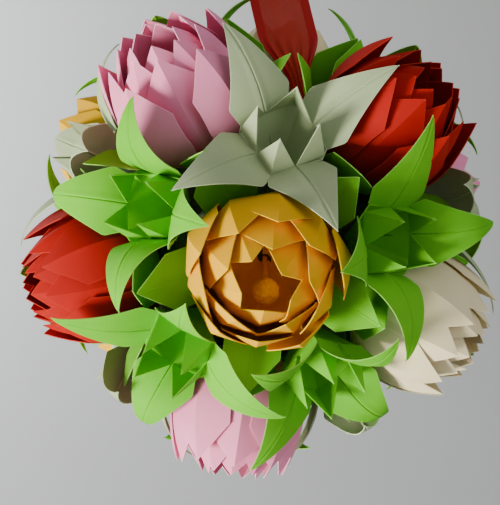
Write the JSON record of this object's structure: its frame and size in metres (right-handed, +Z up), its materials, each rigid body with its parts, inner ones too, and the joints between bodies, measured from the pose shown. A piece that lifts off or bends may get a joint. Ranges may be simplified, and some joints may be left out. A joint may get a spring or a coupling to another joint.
{
  "type": "kusudama paper ball",
  "caption": "Hanging ball of folded paper tulips and lilies glued over a round foam core, with a doubled ribbon loop at the top.",
  "frame": {"origin": "top of the hanging loop's crown, where the ball is hung from; the middle of the ball is 150 mm below it", "axes": "+Z up; -Y towards the viewer, where the front tulip looks; +X to the right"},
  "size_m": [0.2061, 0.2128, 0.2553],
  "materials": {
    "core_foam": "green florist foam, hidden by the flowers, inferred",
    "red_ribbon": "sheer woven ribbon with satin edges",
    "yellow_paper": "matt coloured paper, folded, with lighter cut edges",
    "red_paper": "matt coloured paper, folded, with lighter cut edges",
    "pink_paper": "matt coloured paper, folded, with lighter cut edges",
    "cream_paper": "matt coloured paper, folded, with lighter cut edges",
    "green_paper": "matt coloured paper, folded, with lighter cut edges",
    "sage_paper": "matt coloured paper, folded, with lighter cut edges",
    "pistil_paper": "matt coloured paper, folded, with lighter cut edges"
  },
  "bodies": {
    "root": {"core_ball": "core_foam", "hanging_ribbon": "red_ribbon", "tulip_01_petals": "yellow_paper", "tulip_01_calyx": "green_paper", "tulip_01_pistil": "pistil_paper", "tulip_02_petals": "red_paper", "tulip_02_calyx": "green_paper", "tulip_02_pistil": "pistil_paper", "tulip_03_petals": "pink_paper", "tulip_03_calyx": "green_paper", "tulip_03_pistil": "pistil_paper", "tulip_04_petals": "red_paper", "tulip_04_calyx": "green_paper", "tulip_04_pistil": "pistil_paper", "tulip_05_petals": "pink_paper", "tulip_05_calyx": "green_paper", "tulip_05_pistil": "pistil_paper", "tulip_06_petals": "cream_paper", "tulip_06_calyx": "green_paper", "tulip_06_pistil": "pistil_paper", "tulip_07_petals": "cream_paper", "tulip_07_calyx": "green_paper", "tulip_07_pistil": "pistil_paper", "tulip_08_petals": "yellow_paper", "tulip_08_calyx": "green_paper", "tulip_08_pistil": "pistil_paper", "tulip_09_petals": "pink_paper", "tulip_09_calyx": "green_paper", "tulip_09_pistil": "pistil_paper", "tulip_10_petals": "pink_paper", "tulip_10_calyx": "green_paper", "tulip_10_pistil": "pistil_paper", "tulip_11_petals": "cream_paper", "tulip_11_calyx": "green_paper", "tulip_11_pistil": "pistil_paper", "tulip_12_petals": "yellow_paper", "tulip_12_calyx": "green_paper", "tulip_12_pistil": "pistil_paper", "lily_01": "sage_paper", "lily_02": "green_paper", "lily_03": "green_paper", "lily_04": "green_paper", "lily_05": "green_paper", "lily_06": "sage_paper", "lily_07": "green_paper", "lily_08": "sage_paper", "lily_09": "green_paper", "lily_10": "sage_paper", "lily_11": "green_paper", "lily_12": "sage_paper", "lily_13": "green_paper", "lily_14": "green_paper", "lily_15": "sage_paper", "lily_16": "green_paper", "lily_17": "sage_paper", "lily_18": "green_paper", "lily_19": "sage_paper"}
  },
  "joints": []
}
